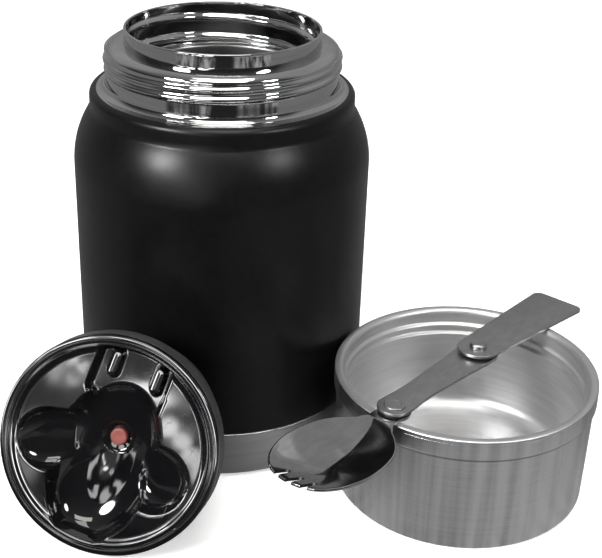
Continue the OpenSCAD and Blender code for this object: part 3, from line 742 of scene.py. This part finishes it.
# %% [markdown]
# A square grid would meet the round rim in steps. Each square ring of the grid is
# moved on to a circle first, so that the rim and the button's hole are true rings.
# The heights are smoothed a little, as a mould's polishing does. The edge is then
# drawn out in small extrudes that roll over the rim and down the side, and Solidify
# gives the moulding its wall.

# %% Stopper cover
def round_grid(name, cells, radius):
    obj = added(name, bpy.ops.mesh.primitive_grid_add, x_subdivisions=cells, y_subdivisions=cells, size=2)
    for v in obj.data.vertices:
        u, w = v.co.x, v.co.y
        ring = max(abs(u), abs(w))
        if ring < 1e-6:
            v.co = (0, 0, 0)
            continue
        across = abs(u) >= abs(w)
        angle = math.pi / 4 * (w / u) if across else math.pi / 2 - math.pi / 4 * (u / w)
        if (u if across else w) < 0:
            angle += math.pi
        v.co = (radius * ring * math.cos(angle) * MM, radius * ring * math.sin(angle) * MM, 0)
    return obj


def roll_edge(rings, first):
    """Extrudes the open edge, which is selected, through rings of (radius, z) in millimetres."""
    last = first
    for r, z in rings:
        bpy.ops.mesh.extrude_region_move(TRANSFORM_OT_translate={"value": (0, 0, (z - last[1]) * MM)})
        bpy.ops.transform.resize(value=(r / last[0], r / last[0], 1), center_override=(0, 0, 0))
        last = (r, z)


def choose(kind, parts, wanted):
    """Goes to edit mode with only those points, edges or faces selected that the test wants."""
    mode("EDIT")
    bpy.ops.mesh.select_mode(type=kind)
    select("DESELECT")
    mode("OBJECT")
    for part in parts:
        part.select = wanted(part)
    mode("EDIT")


COVER_R, COVER_WALL = 33.2, 0.7
cover = round_grid("stopper_cover_face", 210, COVER_R)
for v in cover.data.vertices:
    v.co.z = face_depth(v.co.x / MM, v.co.y / MM) * MM
choose("VERT", cover.data.vertices, lambda v: 3.4 < v.co.xy.length / MM < 32.6)
bpy.ops.mesh.vertices_smooth(factor=0.5, repeat=2)
choose("FACE", cover.data.polygons, lambda f: f.center.xy.length < 2.7 * MM)
bpy.ops.mesh.delete(type="FACE")
mode("OBJECT")
edge_points = {v.index for v in cover.data.vertices if abs(v.co.xy.length - COVER_R * MM) < 1e-6}
choose("EDGE", cover.data.edges, lambda e: edge_points.issuperset(e.vertices))
roll_edge([(33.55, -0.04), (33.85, -0.16), (34.08, -0.36), (34.22, -0.62), (34.28, -0.95), (34.29, -2.1), (34.1, -2.2),
           (COVER_R, -2.2)], (COVER_R, 0))
outward()
mode("OBJECT")
if sum(f.normal.z for f in cover.data.polygons) < 0:
    mode("EDIT")
    bpy.ops.mesh.flip_normals()
    mode("OBJECT")
change(cover, "SOLIDIFY", thickness=COVER_WALL * MM, offset=-1)
finish_edges(cover, 50)
dress(cover, gloss_black, "stopper", "gloss_black", "stopper_cover", place=STOPPER)

# %% [markdown]
# Behind the face the stopper is matt: a straight side, a step to the plug, and the
# plug's steep thread, which winds like the one inside the liner. The gasket on its
# nose is a soft ring with a rounded lip.

# %% Stopper body, gasket and button
body_line = (rounded([(33.0, -2.3), (34.28, -2.3, 0.15), (34.28, -9, 0.7), (30.6, -9, 0.4), (30.0, -9.6)], 4)
             + upright(30.0, -9.8, -19.4, 0.28)
             + rounded([(30.0, -19.5), (28.0, -21.5, 0.5), (28.0, -22.7, 0.2), (27.0, -22.7), (27.0, -25.1),
                        (28.0, -25.1, 0.2), (28.0, -28.5, 0.8), (25.8, -28.5), (25.8, -21.5), (28.8, -19.5),
                        (28.8, -7.8), (33.1, -7.8)], 4))
stopper_body = turned("stopper_body_turned", body_line, steps=192)
wind(stopper_body, height=0.85, width=3.3, turns=1.4, pitch=MOUTH_PITCH, first_z=-19.2, first_angle=0.1,
     radii=(29.8, 30.3), heights=(-20, -9.7))
dress(stopper_body, matte_black, "stopper", "matte_black", "stopper_body", place=STOPPER)
gasket = turned("stopper_seal_ring", rounded([
    (27.05, -25.0), (28.4, -25.0, 0.3), (28.88, -24.2, 0.5), (28.88, -23.4, 0.5), (28.4, -22.75, 0.3),
    (27.05, -22.75)], 5))
dress(gasket, grey_rubber, "stopper", "grey_rubber", "stopper_gasket", place=STOPPER)
SHOULDER_LOW = -13.8    # underside of the button's shoulder
button = turned("button_cap", rounded([
    (0, SHOULDER_LOW), (4.1, SHOULDER_LOW, 0.2), (4.1, -13.0, 0.2), (2.75, -13.0, 0.2), (2.75, -10.9, 0.7),
    (1.2, -10.93, 0.5), (0, -11.0)], 6), steps=64, closed=False)
dress(button, red_rubber, "button", "red_rubber", "pressure_button", place=STOPPER)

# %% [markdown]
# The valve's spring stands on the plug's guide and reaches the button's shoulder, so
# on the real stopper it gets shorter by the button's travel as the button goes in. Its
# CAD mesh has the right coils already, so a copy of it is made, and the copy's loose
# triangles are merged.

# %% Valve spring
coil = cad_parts["valve_spring"]
spring = bpy.data.objects.new("valve_spring_coil", coil.data.copy())
bpy.context.collection.objects.link(spring)
pick(spring)
mode("EDIT")
select()
bpy.ops.mesh.remove_doubles(threshold=1e-6)
mode("OBJECT")
dress(spring, satin_steel, "stopper", "satin_steel", "valve_spring", place=coil.matrix_world.copy())
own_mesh(spring)

# %% [markdown]
# The spork's bowl is pressed from the same sheet as its links. It is narrow at the
# root, broad in the middle and blunt at the tip. Its outline is kept as a few
# distances from the bowl's middle, one for each direction, with a smooth curve
# between them, so a grid of rings can be pulled out to it without any jagged edge.

# %% Outline of the bowl
BOWL_EDGE = [(0, 22.5), (11.6, 22.9), (18.8, 21.1), (26.6, 20.1), (37.7, 19.0), (55.6, 17.7), (72.5, 16.7),
             (90, 16.5), (107, 17.15), (123.2, 18.3), (132.3, 19.3), (141.6, 20.4), (150.2, 21.4), (159.4, 22.3),
             (169.8, 22.6), (180, 22.7)]


def edge_slope(i):
    """Slope of the curve at one of the edge's distances; it is level at both ends."""
    if i in (0, len(BOWL_EDGE) - 1):
        return 0.0
    (a, ra), (b, rb) = BOWL_EDGE[i - 1], BOWL_EDGE[i + 1]
    return (rb - ra) / (b - a)


def bowl_edge(angle):
    """Distance in mm from the bowl's middle to its edge, in one direction (0 is the rivet's)."""
    d = abs((math.degrees(angle) + 180) % 360 - 180)
    i = next(k for k in range(len(BOWL_EDGE) - 1) if d <= BOWL_EDGE[k + 1][0])
    (a, ra), (b, rb) = BOWL_EDGE[i:i + 2]
    t = (d - a) / (b - a)
    return ((2 * t ** 3 - 3 * t ** 2 + 1) * ra + (t ** 3 - 2 * t ** 2 + t) * (b - a) * edge_slope(i)
            + (3 * t ** 2 - 2 * t ** 3) * rb + (t ** 3 - t ** 2) * (b - a) * edge_slope(i + 1))


print("edge:", [round(bowl_edge(math.radians(a)), 2) for a in (0, 30, 90, 150, 180)])

# %% [markdown]
# The grid is dished like part of a ball at the back, and slopes more evenly in front
# and towards the teeth. At the root the two sides meet in a crease, as pressing folds
# the sheet there. Solidify gives the sheet its thickness, and a bevel breaks its edge.
# The flat tab at the root is stamped on its own and joined to the bowl by a boolean,
# and three rounded slots are cut out for the teeth. Booleans suit this: the slots go
# straight through, and their edges are meant to be crisp.

# %% Spork bowl
def cut_or_add(obj, other, how):
    pick(obj)
    change(obj, "BOOLEAN", operation=how, object=other, solver="EXACT")
    bpy.data.objects.remove(other)


def along_line(points, x):
    """The y of a line of (x, y) points whose x falls from one to the next."""
    for (xa, ya), (xb, yb) in zip(points, points[1:]):
        if x >= xb:
            return ya + (yb - ya) * min(1.0, max(0.0, (x - xa) / (xb - xa)))
    return points[-1][1]


def bowl_point(angle, far):
    return BOWL_MIDDLE + far * math.cos(angle), far * math.sin(angle)


def dome(ring, k):
    """1 at the middle, 0 at the edge: a ball's height for k over 1."""
    return (math.sqrt(k - ring * ring) - math.sqrt(k - 1)) / (math.sqrt(k) - math.sqrt(k - 1))


def cone(ring, k):
    """1 at the middle, 0 at the edge: a straight slope with its point rounded by k."""
    return (math.sqrt(1 + k) - math.sqrt(ring * ring + k)) / (math.sqrt(1 + k) - math.sqrt(k))


bowl_side = [bowl_point(math.radians(a), bowl_edge(math.radians(a))) for a in range(12, 181, 3)]
CREASE = [(-4.2, 4.4), (-7.5, 2.7), (-10.2, 1.5), (-14.4, 0.9), (-20, 0.9), (-30, 0.6), (-54, 0)]
DISH, BOWL_SHEET = 5.8, 0.95


def bowl_height(ring, angle, x, y):
    """Height of the bowl in millimetres at a point of the grid; ring is 0 in the middle and 1 at the edge."""
    depth = dome(ring, 1.62)
    depth += (cone(ring, 0.006) - depth) * rise((0.25 - math.sin(angle)) / 0.6)
    depth += ((1 - ring * ring) ** 1.25 - depth) * rise((-math.cos(angle) - 0.70) / 0.30)
    crease, side = along_line(CREASE, x), along_line(bowl_side, x)
    half = max(1.0, side - crease if y > crease else side + crease)
    root = rise((-5.0 - x) / 19) * (1 - min(1.0, abs(y - crease) / half))
    return 1 - DISH * (depth + (root - depth) * rise((x + 36) / 14))


bowl = round_grid("spork_bowl_face", 76, 1.0)
for v in bowl.data.vertices:
    ring, angle = min(1.0, math.hypot(v.co.x, v.co.y) / MM), math.atan2(v.co.y, v.co.x)
    tucked = 0.55 * min(1.0, max(0.0, (abs(angle) - 0.2) / 0.12))
    x, y = bowl_point(angle, (bowl_edge(angle) - tucked) * ring)
    v.co = (x * MM, y * MM, bowl_height(ring, angle, x, y) * MM)
change(bowl, "SOLIDIFY", thickness=BOWL_SHEET * MM, offset=-1)
break_edges(bowl, 0.28)
tab = stamped("tab", arc(0, 0, 5.4, -123, 123, 40) + [(-7.6, 4.7), (-7.6, -4.7)], 0.0, 1.0, 0.15)
cut_or_add(bowl, tab, "UNION")
for y in (-4.9, 0, 4.9):
    slot = stamped("slot", arc(-46.0, y, 0.9, -90, 90, 12) + [(-60, y + 1.25), (-60, y - 1.25)], -10, 20, 0.01)
    cut_or_add(bowl, slot, "DIFFERENCE")
finish_edges(bowl, 38)
dress(bowl, bowl_steel, "spork", "polished_steel", "spork_bowl", place=SPORK @ turn(0.5))

# %% [markdown]
# The CAD nodes that stay are inner parts or already have the right shape. Each gets
# the finish of its own stuff.

# %% Finishes for the nodes that stay
for name, material in (("shell_floor", satin_steel), ("vacuum_plug", glass_bead), ("getter", getter_grey),
                       ("plug_insulation", foam), ("valve_stem", satin_steel),
                       ("valve_seal", grey_rubber), ("plug_floor", matte_black)):
    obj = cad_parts[name]
    obj.data.materials.clear()
    obj.data.materials.append(material)
print("nodes dressed")

# %% [markdown]
# The set is a pale floor under soft light. The floor's own colour makes the picture's
# white, and a little added glow keeps it white where the light falls off, without
# hiding the shadows.

# %% Floor
floor = disc("floor", 96, 4, (0, 0, -0.0002))
floor_white, shader, at = new_finish("floor_white", Base_Color=(0.86, 0.86, 0.86, 1), Roughness=0.9,
                                     Specular_IOR_Level=0.1, Emission_Color=(1, 1, 1, 1))
path = node(shader.id_data, "ShaderNodeLightPath").outputs
seen = maths("MAXIMUM", path["Is Camera Ray"], path["Is Glossy Ray"])
join(times(seen, 0.45), shader.inputs["Emission Strength"])
floor.data.materials.append(floor_white)
print("floor ready")

# %% [markdown]
# Bright steel shows whatever lies in front of it. In a studio, grey card lies there,
# outside the picture, so that the metal doesn't turn as white as the floor. This card
# is seen by reflections alone and casts no shadow. It is pale beside the cup, dark in
# a wedge in front of the jar, and streaked where the neck looks for its upright bands.
# A reflected ray started where it ends, less the way it came, so a material can tell
# which object it comes from: for the bowl the card is dark beside the jar.

# %% Grey card for the reflections
def reflected_only(obj):
    """Makes an object a stage piece that only reflections see, with a plain emission. Returns its strength and
    its place."""
    obj.visible_camera = obj.visible_shadow = obj.visible_diffuse = obj.visible_transmission = False
    material, shader, at = new_finish(obj.name)
    glow = node(at.id_data, "ShaderNodeEmission")
    join(glow.outputs[0], at.id_data.nodes["Material Output"].inputs["Surface"])
    at.id_data.nodes.remove(shader)
    obj.data.materials.append(material)
    return glow.inputs["Strength"], at


def start_of_ray(tree):
    """Where a ray that arrives here started, and the way back to it."""
    here = node(tree, "ShaderNodeNewGeometry").outputs
    way = feed(node(tree, "ShaderNodeVectorMath", operation="SCALE"),
               {0: here["Incoming"], "Scale": node(tree, "ShaderNodeLightPath").outputs["Ray Length"]})
    return vectors("ADD", here["Position"], way[0])["Vector"], here["Incoming"]


def along(vector, direction):
    return vectors("DOT_PRODUCT", vector, direction)["Value"]


def clear_unless(amount):
    """Makes the surface transparent where the amount is 0."""
    tree = amount.id_data
    end = tree.nodes["Material Output"].inputs["Surface"]
    clear = node(tree, "ShaderNodeBsdfTransparent").outputs[0]
    join(feed(node(tree, "ShaderNodeMixShader"), {0: amount, 1: clear, 2: end.links[0].from_socket})[0], end)


def from_bowl(tree):
    """1 for a reflection that the bowl sends out, 0 for any other."""
    return spread(vectors("DISTANCE", start_of_ray(tree)[0], bowl_centre)["Value"], 0.026, 0.028, 1, 0)


def swing(angle, lo, hi):
    """Climbs from 0 to 1 between two angles in degrees."""
    return climb(angle, math.radians(lo), math.radians(hi))


strength, at = reflected_only(disc("grey_card", 96, 3.0, (0, 0, 0.0002)))
x, y, z = split(at)
far = vectors("LENGTH", at)["Value"]
angle = maths("ABSOLUTE", maths("ARCTAN2", x, times(y, -1)))
jar_streaks = place_group(ring_grain, at, Lines_per_mm=0.002)["Streaks"]
cup_streaks = place_group(ring_grain, at, Centre_X=CUP_XY[0], Centre_Y=CUP_XY[1], Lines_per_mm=0.002)["Streaks"]
wedge = mix_values(climb(far, 0.39, 0.43), spread(jar_streaks, 0.35, 0.65, 0.03, 0.17),
                   spread(jar_streaks, 0.40, 0.62, 0.05, 0.62))
wedge = mix_values(swing(angle, 9, 15), 0.03, wedge)
away = mix_values(swing(angle, 50, 54), wedge, 0.27)
beside = times(climb(x, -0.03, 0.06, 0.05, 1.0), spread(cup_streaks, 0.34, 0.66, 0.47, 0.60))
beside = mix_values(swing(angle, 58, 80), beside, 0.30)
card = mix_values(climb(far, 0.26, 0.33), beside, away)
under_bowl = times(from_bowl(at.id_data), spread(far, 0.14, 0.17, 1, 0))
join(mix_values(under_bowl, card, 0.03), strength)
print("card ready")

# %% [markdown]
# The world is dim in front, so that black stays black, and an even grey behind and
# above, which the flat links and the bowl reflect. What the camera sees directly
# stays white.

# %% World
world = bpy.data.worlds.new("studio")
bpy.context.scene.world = world
world.use_nodes = True
background = world.node_tree.nodes["Background"].inputs
x, y, z = split(node(world.node_tree, "ShaderNodeTexCoord").outputs["Generated"])
behind = climb(plus(y, times(x, 0.35)), -0.25, 0.35)
room = mix_values(behind, spread(z, 0.35, 0.9, 0.05, 0.26), spread(z, 0.18, 0.40, 0.28, 0.42))
seen = node(world.node_tree, "ShaderNodeLightPath").outputs["Is Camera Ray"]
join(mix_values(seen, room, 1.0), background["Strength"])
background["Color"].default_value = (1, 1, 1, 1)
print("world ready")

# %% [markdown]
# Two softboxes stand at the sides, low enough to put a soft spot on each side of the
# shoulder. A long one in front is high, for the glints along the thread. A wide one
# overhead fills the cup.

# %% Lamps
def stand(obj, azimuth, elevation, distance, target):
    """Puts an object at this distance from the target, facing it. Angles in degrees, from the front and up."""
    a, e = math.radians(azimuth), math.radians(elevation)
    away = Vector((math.sin(a) * math.cos(e), -math.cos(a) * math.cos(e), math.sin(e)))
    obj.location = Vector(target) + away * distance
    obj.rotation_euler = away.to_track_quat("Z", "Y").to_euler()


def softbox(name, azimuth, elevation, distance, width, height, power, shape="RECTANGLE", colour=(1, 1, 1)):
    lamp = added(name, bpy.ops.object.light_add, type="AREA")
    lamp.data.shape, lamp.data.color = shape, colour
    lamp.data.size, lamp.data.size_y, lamp.data.energy = width, height, power
    stand(lamp, azimuth, elevation, distance, (0, 0, 0.09))


softbox("left_softbox", -49, 27, 1.1, 0.34, 0.34, 15.0, shape="ELLIPSE")
softbox("right_softbox", 48, 30, 1.2, 0.26, 0.26, 6.0, shape="ELLIPSE")
softbox("top_softbox", 10, 80, 1.3, 0.7, 0.7, 9.0)
softbox("front_softbox", -6, 56, 1.1, 0.80, 0.22, 4.5, colour=(1.0, 0.96, 0.88))
print("lamps ready")

# %% [markdown]
# The stopper's face is tilted so that the eye sees the room low on the left in it. A
# lit panel stands there, with soft bright patches, and a ribbed umbrella above it
# gives the star of glints in the oval recess. Both are for reflections only.

# %% Panel and umbrella
def patch(at, x, y, width, height):
    """A soft round patch of light on a flat card, in millimetres from its middle."""
    place = split(at)
    across, up = (over(minus(place[k], c * MM), size * MM) for k, c, size in ((0, x, width), (1, y, height)))
    return climb(length(across, up), 1.0, 0.45)


panel = added("lit_panel", bpy.ops.mesh.primitive_plane_add, size=0.18)
stand(panel, -30, 0, 0.50, (-0.030, -0.080, 0.048))
strength, at = reflected_only(panel)
folds = place_group(handling, at, Size_mm=6.0)["Smudge"]
lit = times(times(patch(at, -42, 36, 24, 15), 10.0), climb(folds, 0.38, 0.62, 0.10, 1.2))
for x, y, width, height, power in ((13, 24, 26, 9, 20.0), (31, 5, 10, 9, 14.0), (42, -3, 9, 8, 11.0),
                                   (50, -13, 10, 8, 12.0), (58, -23, 9, 10, 13.0), (42, 30, 16, 18, 2.0),
                                   (-60, -22, 14, 34, 3.0), (0, 5, 88, 78, 0.6)):
    lit = plus(lit, times(patch(at, x, y, width, height), power))
join(lit, strength)

umbrella = disc("umbrella", 48, 0.36)
stand(umbrella, -33, 4, 0.9, (-0.030, -0.080, 0.035))
strength, at = reflected_only(umbrella)
x, y, z = split(at)
creased = place_group(handling, at, Size_mm=260.0)["Wave"]
ribs = maths("ABSOLUTE", maths("SINE", times(plus(maths("ARCTAN2", y, x), creased), 3.5)))
petals = times(climb(ribs, 0.62, 0.97), climb(vectors("LENGTH", at)["Value"], 0.13, 0.20))
join(times(petals, 7), strength)
print("panel and umbrella ready")

# %% [markdown]
# Two more stage pieces serve one object each, as small cards in a studio do: a tent
# draws the bright lines round the stopper's rim and recesses, and a flag keeps the
# top lamp out of the bowl. Each is clear for reflections from anywhere else.

# %% Tent and flag
def window(value, lo, lo_full, hi_full, hi):
    """1 between the two full values, 0 outside the other two, and soft between."""
    return times(climb(value, lo, lo_full), climb(value, hi_full, hi, 1, 0))


face_centre = STOPPER.translation
strength, at = reflected_only(added("tent", bpy.ops.mesh.primitive_uv_sphere_add, segments=48, ring_count=24,
                                    radius=0.45, location=face_centre))
start, back = start_of_ray(at.id_data)
on_face = vectors("SUBTRACT", start, face_centre)["Vector"]
a, b, c = (along(on_face, (STOPPER @ turn(-RECESS_TURN)).to_3x3().col[k]) for k in range(3))
x, y = (along(on_face, STOPPER.to_3x3().col[k]) for k in range(2))
r = length(a, b)
on_stopper = times(spread(r, 0.0355, 0.0365, 1, 0), spread(maths("ABSOLUTE", c), 0.012, 0.014, 1, 0))
turned_away = along(back, (0.5, 0.866, 0.0))
rim_lines = window(turned_away, 0.45, 0.55, 0.80, 0.88)
recess_lines = window(turned_away, 0.10, 0.20, 0.84, 0.92)
for lobe_x, lobe_y, lobe_r in ((-18.8, -0.5, 9.0), (14.4, -8.9, 9.4)):
    beside = minus(x, lobe_x * MM)
    if lobe_x < 0:
        beside = maths("MINIMUM", beside, 0.0)
    far = length(beside, minus(y, lobe_y * MM))
    recess_lines = times(recess_lines, spread(far, lobe_r * MM, (lobe_r + 0.5) * MM, 0, 1))
across, up = over(a, 17.5 * MM), over(plus(b, 6.2 * MM), 28 * MM)
oval = plus(times(across, across), times(up, up))
recess_lines = times(recess_lines, spread(oval, 0.95, 1.05, 0, 1))
lines = mix_values(spread(r, 0.0286, 0.0290, 0, 1), recess_lines, rim_lines)
folds = place_group(handling, at, Size_mm=120.0)["Smudge"]
join(spread(folds, 0.30, 0.70, 5.0, 26.0), strength)
clear_unless(times(on_stopper, lines))

strength, at = reflected_only(disc("flag", 48, 0.22, bowl_centre + Vector((0.004, 0.004, 0.085))))
join(mix_values(patch(at, 112, 84, 78, 78), 0.33, 0.58), strength)
clear_unless(from_bowl(at.id_data))
print("tent and flag ready")
